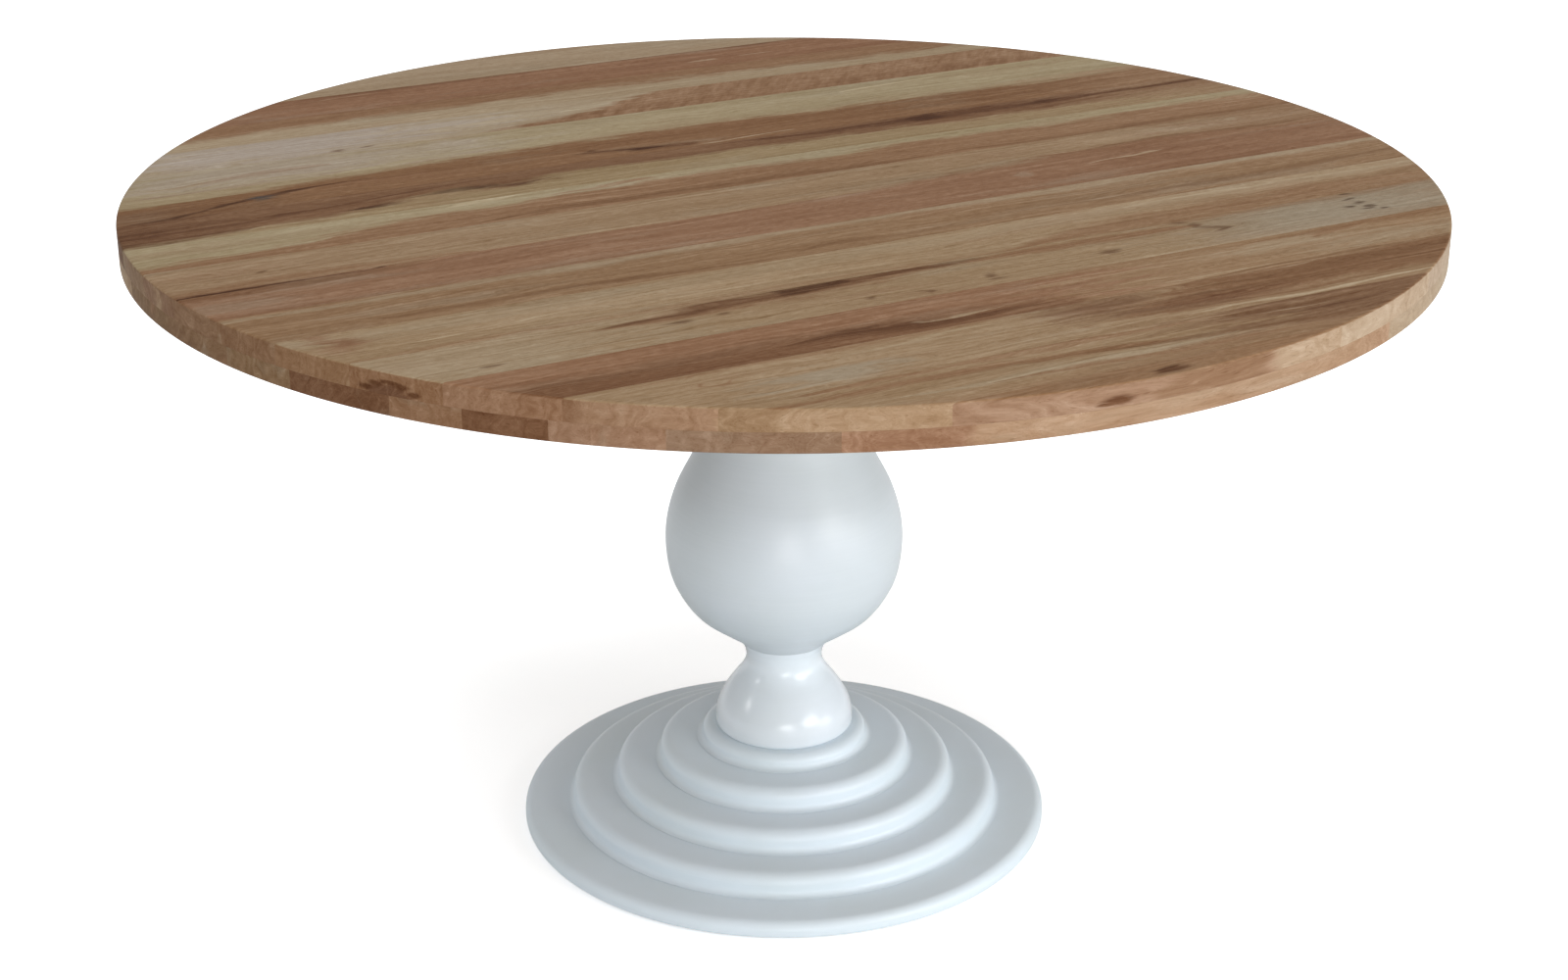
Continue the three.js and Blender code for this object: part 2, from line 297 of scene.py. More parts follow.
class Finish:
    """One material's node tree, built from short calls that return sockets."""

    def __init__(self, name, turn=0.0):
        self.material = bpy.data.materials.new(name)
        self.material.use_nodes = True
        self.tree = self.material.node_tree
        self.tree.nodes.clear()
        self.shader = self.node("BsdfPrincipled")
        output = self.node("OutputMaterial")
        self.tree.links.new(self.shader.outputs[0], output.inputs[0])
        coords = self.node("TexCoord")
        self.normal_out = coords.outputs["Normal"]
        self.place = coords.outputs["Object"]
        if turn:
            self.place = self.spun(self.place, -turn)

    def node(self, kind, *values, **settings):
        made = self.tree.nodes.new("ShaderNode" + kind)
        for key, value in settings.items():
            setattr(made, key, value)
        for index, value in enumerate(values):
            self.feed(made.inputs[index], value)
        return made

    def feed(self, socket, value):
        if isinstance(value, bpy.types.NodeSocket):
            self.tree.links.new(value, socket)
        elif value is not None:
            socket.default_value = value

    def set(self, **values):
        """Sets or links the shader's own inputs, by name with _ for spaces."""
        for key, value in values.items():
            self.feed(self.shader.inputs[key.replace("_", " ")], value)

    def math(self, operation, a, b=0.0, c=0.0):
        return self.node("Math", a, b, c, operation=operation).outputs[0]

    def times(self, a, b):
        return self.math("MULTIPLY", a, b)

    def total(self, *terms):
        """The sum of (socket, weight) terms, each taken about 0.5."""
        out = 0.0
        for socket, weight in terms:
            centred = self.math("SUBTRACT", socket, 0.5)
            out = self.math("MULTIPLY_ADD", centred, weight, out)
        return out

    def vector(self, operation, a, b=(0, 0, 0), c=(0, 0, 0)):
        made = self.node("VectorMath", a, b, c, operation=operation)
        return made.outputs["Value" if operation == "LENGTH" else "Vector"]

    def spun(self, vector, angle):
        return self.node("Mapping", vector, None, (0, 0, angle)).outputs[0]

    def step(self, value, low, high, to_low=0.0, to_high=1.0):
        return self.node(
            "MapRange", value, low, high, to_low, to_high,
            interpolation_type="SMOOTHSTEP",
        ).outputs[0]

    def noise(self, vector, scale=(1, 1, 1), detail=2.0, rough=0.5, seed=0.0, colour=False):
        """Noise with its own scale along each axis, in cycles per metre."""
        shift = (seed * 3.7, seed * 1.9, seed * 2.3)
        placed = self.vector("MULTIPLY_ADD", vector, scale, shift)
        made = self.noise_node("Vector", placed, detail, rough)
        return made.outputs[1 if colour else 0]

    def noise_node(self, name, place, detail, rough, **settings):
        made = self.node("TexNoise", **settings)
        for key, value in ((name, place), ("Scale", 1.0), ("Detail", detail), ("Roughness", rough)):
            self.feed(made.inputs[key], value)
        return made

    def mix(self, factor, a, b):
        made = self.node("Mix", data_type="RGBA")
        self.feed(made.inputs[0], factor)
        self.feed(made.inputs[6], a)
        self.feed(made.inputs[7], b)
        return made.outputs[2]

    def curve(self, value, points):
        """A smooth curve through (x, y) points in mm, read at x in metres, in metres."""
        span = 2 * CURVE_REACH
        made = self.node("FloatCurve")
        line = made.mapping.curves[0]
        spots = [((x + CURVE_REACH) / span, (y + CURVE_REACH) / span) for x, y in points]
        while len(line.points) < len(spots):
            line.points.new(0.5, 0.5)
        for point, spot in zip(line.points, spots):
            point.location = spot
        made.mapping.extend = "HORIZONTAL"
        made.mapping.update()
        self.feed(made.inputs[1], self.math("MULTIPLY_ADD", value, 1 / (span * MM), 0.5))
        return self.math("MULTIPLY_ADD", made.outputs[0], span * MM, -CURVE_REACH * MM)

    def bump(self, height, distance, strength):
        made = self.node("Bump")
        made.inputs["Strength"].default_value = strength
        made.inputs["Distance"].default_value = distance
        self.feed(made.inputs["Height"], height)
        self.set(Normal=made.outputs[0])


# ---------------- wood

WOOD_GAIN = 1.07  # from a tone as it looks under the studio light to the wood's own
WOOD_SHEEN = (0.036, 0.031, 0.022)  # what the surface's sheen adds to each channel, linear
RIM_LIFT = (0.014, 0.012, 0.01)  # what upright faces need on top, as they get less light
PALE = (160, 143, 118)
CREAM = (154, 138, 109)
BEIGE = (149, 126, 98)
TAN = (148, 124, 96)
BROWN = (134, 104, 78)
RED = (133, 101, 77)
DARK = (115, 87, 63)
UMBER = (97, 71, 52)
BLACK = (76, 56, 42)
GREY = (150, 138, 118)
LIGHT = (188, 171, 143)
PORE = (70, 52, 40)
CURL_SLANT = math.radians(-52)  # of curly figure, to the grain

# What each board of the top shows, by its number from the front-right edge: its tone, then its
# marks in order, placed in mm along and across the grain, from the middle of the top.
#   vein: a line through (along, across, half width) points
#   above, below: the part of the board on one side of a line through (along, across) points
#   after: what lies beyond the second of two places along the grain, fading in from the first
#   spots: (along, across, half length, half width) ovals
#   curl: slanted figure inside the mark before it, and how strong it is
#   rim: the upright edge between two places along the grain
#   eyes: (along, across, height, half width, half height) ovals on the upright edge
TOP_BOARDS = {
    1: ((141, 112, 85), [
        ("spots", [(-10, -691, 16, 8)], UMBER, 0.9),
        ("rim", (-300, 300), (142, 115, 93), 1.0),
        ("rim", (-20, 120), (131, 104, 81), 1.0),
        ("rim", (110, 300), (156, 134, 110), 1.0),
        ("eyes", [(-58, -698, 745, 17, 4.5), (-70, -697, 742.5, 12, 2)], UMBER, 0.9),
    ]),
    2: (TAN, [
        ("after", [(20, 220)], (124, 96, 73), 0.9),
        ("below", [(-700, -655), (0, -652), (200, -650), (700, -645)], (146, 119, 92), 0.8),
        ("vein", [(-250, -634, 0), (0, -641, 8), (120, -636, 0)], PALE, 0.6),
        ("vein", [(-430, -600, 0), (-300, -605, 6), (-100, -613, 7), (90, -626, 0)], BROWN, 0.9),
        ("vein", [(-330, -588, 0), (-150, -590, 4), (40, -592, 6), (120, -594, 0)], BROWN, 0.8),
        ("vein", [(-160, -642, 0), (60, -654, 4), (210, -657, 0)], BROWN, 0.8),
        ("vein", [(-60, -618, 0), (60, -628, 4), (200, -638, 4), (300, -644, 0)], DARK, 0.6),
        ("vein", [(110, -594, 0), (200, -598, 4), (330, -596, 0)], DARK, 0.7),
        ("vein", [(150, -612, 0), (250, -616, 4), (330, -612, 0)], UMBER, 0.45),
        ("vein", [(120, -604, 0), (180, -605, 0.9), (270, -607, 0)], LIGHT, 0.3),
        ("rim", (-430, -150), (147, 122, 96), 1.0),
        ("rim", (-430, -330), (135, 110, 84), 0.7),
        ("rim", (180, 450), (160, 140, 117), 1.0),
    ]),
    3: (TAN, [
        ("spots", [(-270, -562, 70, 22)], GREY, 0.6),
        ("vein", [(-388, -513, 0), (-362, -501, 2), (-335, -513, 0)], BROWN, 0.8),
        ("vein", [(-386, -520, 0), (-360, -535, 2), (-336, -522, 0)], BROWN, 0.8),
        ("vein", [(-280, -512, 0), (-200, -521, 1.8), (-90, -512, 1.8), (-30, -518, 0)], LIGHT, 0.26),
        ("vein", [(-460, -505, 0), (-300, -503, 4), (-100, -503, 4), (0, -503, 0)], BROWN, 0.6),
        ("after", [(10, 180)], (128, 98, 73), 0.9),
        ("below", [(-700, -590), (0, -575), (120, -566), (300, -560), (700, -564)], TAN, 0.85),
        ("spots", [(35, -520, 62, 26), (130, -546, 110, 16)], (112, 83, 62), 0.75),
        ("vein", [(120, -512, 0), (280, -514, 6), (480, -511, 6)], DARK, 0.6),
        ("vein", [(60, -535, 0), (260, -538, 5), (440, -535, 4)], DARK, 0.5),
        ("vein", [(170, -500, 0), (300, -502, 1.2), (420, -501, 0)], LIGHT, 0.26),
        ("vein", [(90, -578, 0), (300, -578, 2.4), (430, -575, 0)], LIGHT, 0.38),
        ("rim", (-520, -360), (143, 115, 91), 1.0),
        ("rim", (-520, -475), (126, 97, 74), 0.9),
        ("rim", (360, 520), (157, 138, 117), 1.0),
    ]),
    4: ((139, 107, 82), [
        ("below", [(-700, -458), (-300, -452), (-100, -462), (40, -486), (90, -520), (700, -520)],
         (120, 91, 68), 0.8),
        ("after", [(-20, 190)], (146, 120, 92), 0.9),
        ("spots", [(320, -440, 90, 18), (450, -470, 120, 20)], PALE, 0.5),
        ("vein", [(-262, -478, 0), (-205, -471, 7), (-140, -478, 8), (-40, -482, 4), (20, -484, 0)],
         UMBER, 0.6),
        ("vein", [(-240, -470, 0), (-190, -466, 3), (-140, -468, 0)], BLACK, 0.35),
        ("vein", [(-135, -473, 0), (-90, -474, 1.5), (-25, -473, 0)], LIGHT, 0.6),
        ("vein", [(140, -487, 0), (205, -489, 1.5), (285, -487, 0)], LIGHT, 0.38),
        ("vein", [(345, -440, 0), (390, -433, 5), (450, -425, 0)], BROWN, 0.8),
        ("vein", [(100, -498, 0), (300, -496, 4), (480, -494, 4)], DARK, 0.6),
        ("vein", [(230, -420, 0), (380, -423, 4), (560, -421, 5)], BROWN, 0.6),
        ("rim", (-600, -460), (138, 108, 84), 1.0),
        ("rim", (480, 640), (155, 137, 115), 1.0),
    ]),
    5: (BEIGE, [
        ("spots", [(-570, -372, 230, 70)], PALE, 0.55),
        ("after", [(230, 420)], (145, 128, 107), 0.75),
        ("spots", [(450, -375, 170, 44)], GREY, 0.6),
        ("vein", [(-400, -353, 0), (-300, -349, 9), (-215, -343, 15), (-150, -342, 19), (-80, -338, 14),
         (0, -338, 0)], BROWN, 0.9),
        ("vein", [(-390, -351, 0), (-300, -347, 6), (-215, -339, 10), (-150, -338, 13), (-80, -334, 6),
         (-30, -335, 0)], UMBER, 0.62),
        ("vein", [(-205, -335, 0), (-165, -337, 8), (-118, -334, 0)], BLACK, 0.65),
        ("vein", [(-100, -337, 0), (-30, -337, 6), (40, -335, 0)], UMBER, 0.6),
        ("vein", [(-10, -338, 0), (120, -342, 10), (230, -347, 8), (300, -356, 0)], BROWN, 0.9),
        ("vein", [(200, -333, 0), (400, -333, 5), (620, -333, 6)], BROWN, 0.5),
        ("spots", [(-325, -368, 10, 6), (-280, -366, 8, 5), (-115, -393, 7, 4), (-70, -400, 5, 3),
         (8, -386, 7, 6), (6, -397, 8, 4), (160, -381, 11, 7), (285, -352, 7, 11),
         (291, -368, 8, 6), (275, -333, 8, 4), (-515, -400, 9, 4)], UMBER, 0.65),
        ("spots", [(475, -350, 7, 4), (482, -362, 8, 4.5), (468, -373, 6, 4.5), (489, -378, 6, 4.5),
         (498, -333, 8, 3.5), (478, -387, 7, 4.5), (492, -394, 5, 3.5)], BLACK, 0.7),
        ("rim", (-660, -540), (134, 104, 79), 1.0),
        ("eyes", [(-595, -368, 742, 25, 8)], (104, 78, 60), 0.85),
        ("eyes", [(-595, -368, 751, 13, 2.2), (-602, -356, 748.5, 9, 3), (-588, -380, 748.5, 9, 3),
         (-608, -346, 743.5, 8, 3), (-581, -390, 743.5, 8, 3)], UMBER, 0.85),
    ]),
    6: (BEIGE, [
        ("vein", [(-600, -266, 12), (0, -266, 16), (640, -262, 10)], PALE, 0.35),
        ("spots", [(-610, -276, 22, 26)], RED, 0.8),
        ("vein", [(40, -331, 0), (180, -313, 14), (300, -308, 20), (640, -308, 22)], BROWN, 0.8),
        ("vein", [(-640, -327, 3), (-300, -326, 5), (0, -325, 4)], BROWN, 0.45),
        ("vein", [(-460, -299, 0), (-430, -296, 1.2), (-392, -293, 0)], LIGHT, 0.52),
        ("vein", [(-545, -304, 0), (-510, -303, 0.9), (-480, -302, 0)], LIGHT, 0.38),
        ("rim", (-700, -600), (136, 107, 81), 1.0),
    ]),
    7: ((138, 111, 84), [
        ("vein", [(-640, -167, 4), (-350, -172, 7), (0, -168, 6), (300, -168, 8), (660, -168, 8)],
         PALE, 0.5),
        ("vein", [(-560, -230, 0), (-400, -227, 6), (-250, -236, 6), (-130, -242, 0)], DARK, 0.6),
        ("vein", [(-120, -233, 0), (-60, -225, 4), (0, -231, 4), (90, -222, 0)], DARK, 0.4),
        ("vein", [(100, -214, 0), (350, -222, 6), (640, -213, 6)], DARK, 0.45),
        ("rim", (-700, -640), (128, 100, 76), 1.0),
    ]),
    8: ((136, 105, 81), [
        ("vein", [(-700, -88, 9), (-560, -87, 8), (-430, -80, 0)], DARK, 0.6),
        ("vein", [(-700, -84, 2), (-600, -83, 2.4), (-510, -79.5, 1.5), (-470, -78, 0)], BLACK, 0.85),
        ("vein", [(320, -102, 0), (380, -98, 1.2), (445, -96, 0)], LIGHT, 0.56),
        ("spots", [(230, -101, 16, 6)], GREY, 0.25),
        ("rim", (-720, -640), (130, 103, 79), 1.0),
    ]),
    9: ((146, 122, 95), [
        ("below", [(-700, -90), (40, -82), (120, -66), (250, -60), (420, -46), (500, -47), (600, -60),
         (700, -62)], RED, 0.9),
        ("after", [(470, 600)], (136, 107, 82), 0.6),
        ("vein", [(-700, -73, 4), (-560, -66, 9), (-470, -70, 7), (-380, -82, 0)], BROWN, 0.8),
        ("vein", [(360, -52, 0), (430, -48, 4), (520, -52, 4), (600, -62, 3), (660, -60, 0)], DARK, 0.55),
        ("spots", [(-588, -36, 6, 3.5)], UMBER, 0.8),
        ("rim", (-720, -640), (128, 101, 79), 1.0),
    ]),
    10: (CREAM, [
        ("below", [(-700, 28), (-600, 31), (-500, 43), (-400, 56), (-300, 66), (-200, 73), (-76, 76),
         (0, 71), (100, 63), (200, 73), (300, 69), (420, 66), (600, 70), (700, 70)],
         (138, 108, 82), 0.95),
        ("vein", [(-360, 12, 0), (-280, 15, 7), (-150, 22, 8), (0, 20, 8), (100, 14, 6), (190, 10, 0)],
         DARK, 0.6),
        ("vein", [(250, 12, 0), (450, 12, 5), (680, 10, 5)], DARK, 0.4),
        ("vein", [(-355, 82, 0), (-310, 85, 2.4), (-245, 92, 0)], LIGHT, 0.45),
        ("rim", (-720, -640), (132, 108, 84), 1.0),
    ]),
    11: ((147, 127, 97), [
        ("after", [(150, 500)], (141, 115, 87), 0.3),
        ("above", [(-700, 101), (-600, 99), (-520, 101), (-440, 111), (-400, 124), (-350, 131),
         (-300, 130), (-250, 127), (-200, 134), (-100, 139), (0, 138), (60, 134), (150, 131),
         (300, 128), (450, 126), (600, 127), (700, 128)], (120, 91, 68), 0.95),
        ("spots", [(-665, 140, 75, 45)], UMBER, 0.6),
        ("after", [(470, 620)], (144, 117, 91), 0.7),
        ("vein", [(-690, 128, 3), (-600, 126, 4), (-500, 135, 4), (-400, 150, 4), (-240, 160, 0)],
         UMBER, 0.6),
        ("vein", [(-700, 104, 5), (-610, 105, 7), (-540, 103, 0)], UMBER, 0.8),
        ("spots", [(-418, 122, 28, 6)], BLACK, 0.8),
        ("vein", [(-385, 130, 0), (-340, 134, 2.5), (-300, 134, 3.5), (-250, 128, 2.5), (-195, 135, 0)],
         BLACK, 0.5),
        ("vein", [(-20, 166, 0), (120, 163, 5), (250, 158, 10), (300, 157, 13), (350, 161, 9),
         (440, 160, 8), (540, 158, 6), (680, 158, 4)], UMBER, 0.85),
        ("spots", [(275, 157, 28, 9), (445, 162, 20, 7)], BLACK, 0.6),
    ]),
    12: ((127, 97, 71), [
        ("above", [(-700, 226), (-600, 231), (-500, 240), (-300, 248), (0, 257), (200, 250), (280, 246),
         (500, 238), (700, 233)], CREAM, 0.85),
        ("spots", [(-640, 190, 150, 30)], UMBER, 0.3),
        ("after", [(400, 640)], (142, 114, 88), 0.7),
        ("vein", [(-700, 166, 3), (-640, 176, 3), (-560, 200, 3), (-500, 215, 3), (-440, 222, 2.5),
         (-370, 223, 0)], BLACK, 0.7),
        ("spots", [(-518, 208, 13, 9)], (84, 78, 70), 0.85),
        ("vein", [(-150, 207, 0), (-100, 199, 5), (-60, 191, 6), (-10, 187, 0)], UMBER, 0.75),
        ("spots", [(-122, 212, 9, 5), (-74, 194, 18, 7)], BLACK, 0.8),
        ("vein", [(-25, 180, 0), (30, 182, 1.2), (90, 186, 1), (120, 187, 0)], LIGHT, 0.45),
    ]),
    13: (CREAM, [
        # painted sheen: a paler, greyer patch at the top's back left, standing in for the light the
        # surface reflects there
        ("spots", [(-460, 305, 240, 50)], (160, 146, 130), 0.7),
        ("below", [(-700, 268), (-300, 264), (0, 264), (300, 262), (700, 258)], BROWN, 0.4),
        ("vein", [(-620, 288, 0), (-500, 296, 6), (-400, 300, 0)], BROWN, 0.35),
        ("vein", [(245, 315, 0), (300, 320, 2.1), (360, 324, 2.1), (415, 328, 0)], LIGHT, 0.6),
    ]),
    14: (PALE, [
        # painted sheen: a paler, greyer patch at the top's back left, standing in for the light the
        # surface reflects there
        ("spots", [(-430, 395, 240, 62)], (163, 150, 137), 0.85),
        ("below", [(-700, 320), (-270, 338), (-180, 353), (-100, 369), (-40, 386), (0, 404), (40, 428),
         (100, 450), (700, 450)], (137, 107, 81), 0.95),
        ("curl", 0.64),
        ("spots", [(-362, 350, 9, 3.5), (-330, 350, 6, 4.5)], UMBER, 0.7),
        ("vein", [(-225, 386, 0), (-185, 383, 1.5), (-145, 380, 0)], LIGHT, 0.38),
        ("vein", [(-95, 385, 0), (-60, 392, 1.5), (-25, 396, 0)], LIGHT, 0.45),
    ]),
    15: ((155, 136, 110), [
        ("above", [(-700, 452), (-400, 468), (-200, 474), (0, 476), (200, 470), (400, 463), (700, 456)],
         BROWN, 0.95),
    ]),
    16: (RED, [
        ("vein", [(-335, 577, 0), (-290, 582, 1.5), (-235, 589, 0)], LIGHT, 0.26),
        ("vein", [(148, 543, 0), (180, 545, 1.2), (205, 544, 0)], LIGHT, 0.38),
        ("vein", [(222, 545, 0), (258, 547, 1.5), (284, 543, 0)], LIGHT, 0.45),
        ("vein", [(-370, 593, 0), (-200, 594, 2.5), (0, 595, 2), (340, 596, 1.5)], UMBER, 0.5),
    ]),
    17: ((152, 132, 107), []),
}

ROSE = (127, 103, 82)
RUST = (108, 79, 57)

# The lower layer's tones and marks, by its boards' numbers from the same edge.
UNDER_BOARDS = {
    1: ((147, 120, 95), [("rim", (-400, -190), (133, 103, 81), 0.9)]),
    2: (ROSE, [("rim", (240, 480), (152, 133, 110), 1.0)]),
    3: ((137, 108, 85), [("rim", (380, 540), (152, 134, 111), 1.0)]),
    4: (RUST, [("rim", (440, 640), (149, 130, 108), 1.0)]),
    5: ((129, 99, 74), [("rim", (500, 700), (144, 125, 103), 1.0)]),
    6: (RUST, [("rim", (560, 720), (140, 122, 98), 1.0)]),
    7: ((123, 98, 72), []),
    8: ((120, 94, 69), []),
    9: (BROWN, [("rim", (-720, -640), (122, 98, 73), 1.0)]),
    10: (TAN, []),
    11: (RED, []),
    12: (TAN, []),
    13: (CREAM, []),
    14: (TAN, []),
}
BATTEN_WOOD = (TAN, [])


# A board's places along and across the grain, the noise about 0 that tears its marks' edges, and
# how upright its surface is, from 0 to 1.
Grain = namedtuple("Grain", "marked along across torn upright")

# How far the torn noise pushes the edge of each kind of mark.
RAGGED = {"eyes": 1.6, "spots": 3.2, "vein": 3.0, "after": 0.7, "above": 0.05, "below": 0.05}
RIM_FADE = 0.02  # length over which a mark on the rim fades in, in metres
VEIN_FADE = 0.012  # the same at a vein's pointed ends
WIDTH_GAIN = 10  # a curve spans far more than a vein's width, so widths go in scaled up


def oval_mask(f, grain, kind, shape, low, high):
    """Ovals' masks joined: each fades out from low to high, as parts of its own radius."""
    place = f.place if kind == "eyes" else grain.marked
    mask = None
    for u, v, *sizes in shape:
        if kind == "eyes":
            height, width, rise = sizes
            scale = (1 / (width * MM), 1 / (width * MM), 1 / (rise * MM))
            offset = (-u / width, -v / width, -height / rise)
        else:
            length, width = sizes
            scale = (1 / (length * MM), 1 / (width * MM), 0)
            offset = (-u / length, -v / width, 0)
        reach = f.vector("LENGTH", f.vector("MULTIPLY_ADD", place, scale, offset))
        spot = f.step(f.math("MULTIPLY_ADD", grain.torn, RAGGED[kind], reach), low, high, 1.0, 0.0)
        mask = spot if mask is None else f.math("MAXIMUM", mask, spot)
    return mask


def mark_mask(f, grain, kind, shape):
    """Where a mark shows, from 0 to 1."""
    _, along, across, torn, upright = grain
    if kind == "rim":
        first, last = (end * MM for end in shape)
        inside = f.times(f.step(along, first, first + RIM_FADE), upright)
        return f.times(inside, f.step(along, last - RIM_FADE, last, 1.0, 0.0))
    if kind == "eyes":
        return f.times(oval_mask(f, grain, kind, shape, 0.4, 1.3), upright)
    if kind == "spots":
        return oval_mask(f, grain, kind, shape, 0.2, 1.5)
    if kind == "after":
        low, high = shape[0]
        return f.step(f.math("MULTIPLY_ADD", torn, RAGGED[kind], along), low * MM, high * MM)
    middle = f.curve(along, [point[:2] for point in shape])
    offset = f.math("SUBTRACT", across, middle)
    if kind == "vein":
        return vein_mask(f, along, torn, offset, shape)
    offset = f.math("MULTIPLY_ADD", torn, RAGGED[kind], offset)
    if kind == "above":
        return f.step(offset, -0.008, 0.012)
    return f.step(offset, -0.012, 0.008, 1.0, 0.0)


def vein_mask(f, along, torn, offset, shape):
    """Near a vein's middle line, to its half width at each place, with pointed ends where it is 0."""
    width = f.curve(along, [(point[0], point[2] * WIDTH_GAIN) for point in shape])
    width = f.math("MAXIMUM", f.times(width, 1 / WIDTH_GAIN), 1e-5)
    near = f.math("DIVIDE", f.math("ABSOLUTE", offset), width)
    inside = f.step(f.math("MULTIPLY_ADD", torn, RAGGED["vein"], near), 0.2, 1.75, 1.0, 0.0)
    (first, _, first_width), (last, _, last_width) = shape[0], shape[-1]
    if not first_width:
        tip = first * MM
        inside = f.times(inside, f.step(along, tip, tip + VEIN_FADE))
    if not last_width:
        tip = last * MM
        inside = f.times(inside, f.step(along, tip - VEIN_FADE, tip, 1.0, 0.0))
    return inside


def bent_places(f, seed):
    """The place bent a little, for the marks, and bent more, for the growth."""
    sway = f.noise(f.place, (1.1, 7, 7), 1.0, 0.5, seed, colour=True)
    ripple = f.noise(f.place, (6, 40, 40), 2.0, 0.55, seed + 1, colour=True)
    drift = f.vector("MULTIPLY_ADD", sway, (0, 0.03, 0.02), (0, -0.015, -0.01))
    wander = f.vector("MULTIPLY_ADD", ripple, (0.08, 0.028, 0.012), (-0.04, -0.014, -0.006))
    marked = f.vector("ADD", f.place, wander)
    return marked, f.vector("ADD", marked, drift)


def growth_rings(f, grown, seed):
    """Bands by the distance from a pith line that lies beside the board."""
    side = 1 if seed % 2 else -1
    pith = (0, 0.15 - 0.03 * ((seed * 7) % 11), side * (0.05 + 0.01 * ((seed * 3) % 5)) - 0.76)
    ring = f.vector("LENGTH", f.vector("MULTIPLY_ADD", grown, (0, 1, 1), pith))
    place = f.math("MULTIPLY_ADD", ring, 210.0, seed * 5.3)
    return f.noise_node("W", place, 3.0, 0.6, noise_dimensions="1D").outputs[0]


def wood_tone(colour):
    return linear(colour, WOOD_GAIN, WOOD_SHEEN)


def wood(name, tone, marks, seed, turn=GRAIN, relief=True):
    """Oiled solid wood: growth rings round a pith line, fibres, pores and the board's own marks, with a
    painted sheen among two boards' marks.
    """
    f = Finish(name, turn)
    marked, grown = bent_places(f, seed)
    rings = growth_rings(f, grown, seed)
    broad = f.noise(grown, (1.3, 26, 26), 2.0, 0.5, seed + 2)
    middle = f.noise(grown, (3.5, 150, 150), 2.0, 0.55, seed + 3)
    fibre = f.noise(grown, (16, 700, 700), 2.0, 0.6, seed + 4)
    mottle = f.noise(marked, (110, 230, 230), 3.0, 0.7, seed + 9)
    dashes = f.step(f.noise(grown, (26, 560, 560), 2.0, 0.6, seed + 7), 0.60, 0.76)
    flecks = f.step(f.noise(grown, (20, 480, 480), 2.0, 0.6, seed + 8), 0.64, 0.80)
    pores = f.step(f.noise(grown, (120, 2100, 2100), 1.0, 0.5, seed + 5), 0.60, 0.74)

    # the tone drifts between a warmer and a greyer one, then the board's own marks go over it, and on two
    # boards a painted sheen
    colour = wood_tone(tone)
    tint = f.noise(grown, (3.5, 22, 22), 3.0, 0.6, seed + 10)
    colour = f.mix(f.step(tint, 0.50, 0.72, 0.0, 0.28), colour, wood_tone(GREY))
    colour = f.mix(f.step(tint, 0.28, 0.46, 0.26, 0.0), colour, wood_tone(RED))
    split = f.node("SeparateXYZ", marked)
    along, across = split.outputs[0], split.outputs[1]
    facing = f.node("SeparateXYZ", f.normal_out).outputs[2]
    upright = f.step(f.math("ABSOLUTE", facing), 0.35, 0.8, 1.0, 0.0)
    colour = f.mix(upright, colour, f.vector("ADD", colour, RIM_LIFT))
    torn = f.math("SUBTRACT", f.noise(grown, (14, 120, 120), 4.0, 0.68, seed + 11), 0.5)
    grain = Grain(marked, along, across, torn, upright)
    curl = None
    for kind, shape, *rest in marks:
        if kind == "curl":
            curl = (shape, mask)
            continue
        shade, strength = rest
        mask = mark_mask(f, grain, kind, shape)
        colour = f.mix(f.times(mask, strength), colour, wood_tone(shade))

    depth = f.total((broad, 0.32), (middle, 0.36), (fibre, 0.28), (rings, 0.32))
    level = f.math("MULTIPLY_ADD", upright, -0.34, 0.44)
    depth = f.math("MULTIPLY_ADD", f.math("SUBTRACT", mottle, 0.5), level, depth)
    depth = f.math("MULTIPLY_ADD", dashes, -0.20, depth)
    depth = f.math("MULTIPLY_ADD", flecks, 0.15, depth)
    if curl is not None:
        strength, inside = curl
        waves = f.noise(f.spun(f.place, CURL_SLANT), (22, 110, 60), 3.0, 0.6, seed + 6)
        lift = f.times(f.total((waves, strength)), inside)
        depth = f.math("ADD", depth, lift)
    power = f.math("SUBTRACT", 1.0, depth)
    colour = f.node("Gamma", colour, power).outputs[0]
    colour = f.mix(f.times(pores, 0.22), colour, linear(PORE))

    rough = f.total((middle, 0.16), (fibre, 0.10), (pores, 0.10))
    f.set(
        Base_Color=colour, Roughness=f.math("ADD", rough, 0.60), Specular_IOR_Level=0.03,
    )
    if relief:
        height = f.total((fibre, 0.6), (rings, 0.35), (pores, -0.7))
        f.bump(height, 0.00035, 0.5)
    return f.material


# ---------------- paint, steel and plastic

def lacquer(name, seed, roughness, coat=0.0, shade=(1, 1, 1)):
    """Cool white sprayed lacquer over turned wood: faint clouding, orange peel and turning lines."""
    f = Finish(name)
    cloud = f.noise(f.place, (7, 7, 9), 3.0, 0.55, seed)
    lines = f.noise(f.place, (6, 6, 420), 2.0, 0.5, seed + 1)
    peel = f.noise(f.place, (650, 650, 650), 1.0, 0.4, seed + 2)
    swell = f.noise(f.place, (28, 28, 60), 1.0, 0.5, seed + 3)
    pale = [
        (*(c * s for c, s in zip(tone, shade)), 1) for tone in ((0.74, 0.81, 0.86), (0.77, 0.84, 0.91))
    ]
    colour = f.mix(f.step(cloud, 0.3, 0.7), *pale)
    colour = f.mix(f.step(lines, 0.35, 0.75, 0.0, 0.08), colour, (0.68, 0.73, 0.75, 1))
    rough = f.total((cloud, 0.10), (peel, 0.06))
    f.set(
        Base_Color=colour, Roughness=f.math("ADD", rough, roughness), Specular_IOR_Level=0.5,
        Coat_Weight=coat, Coat_Roughness=0.18,
    )
    f.bump(f.total((peel, 0.25), (swell, 1.6), (lines, 0.25)), 0.0004, 0.35)
    return f.material


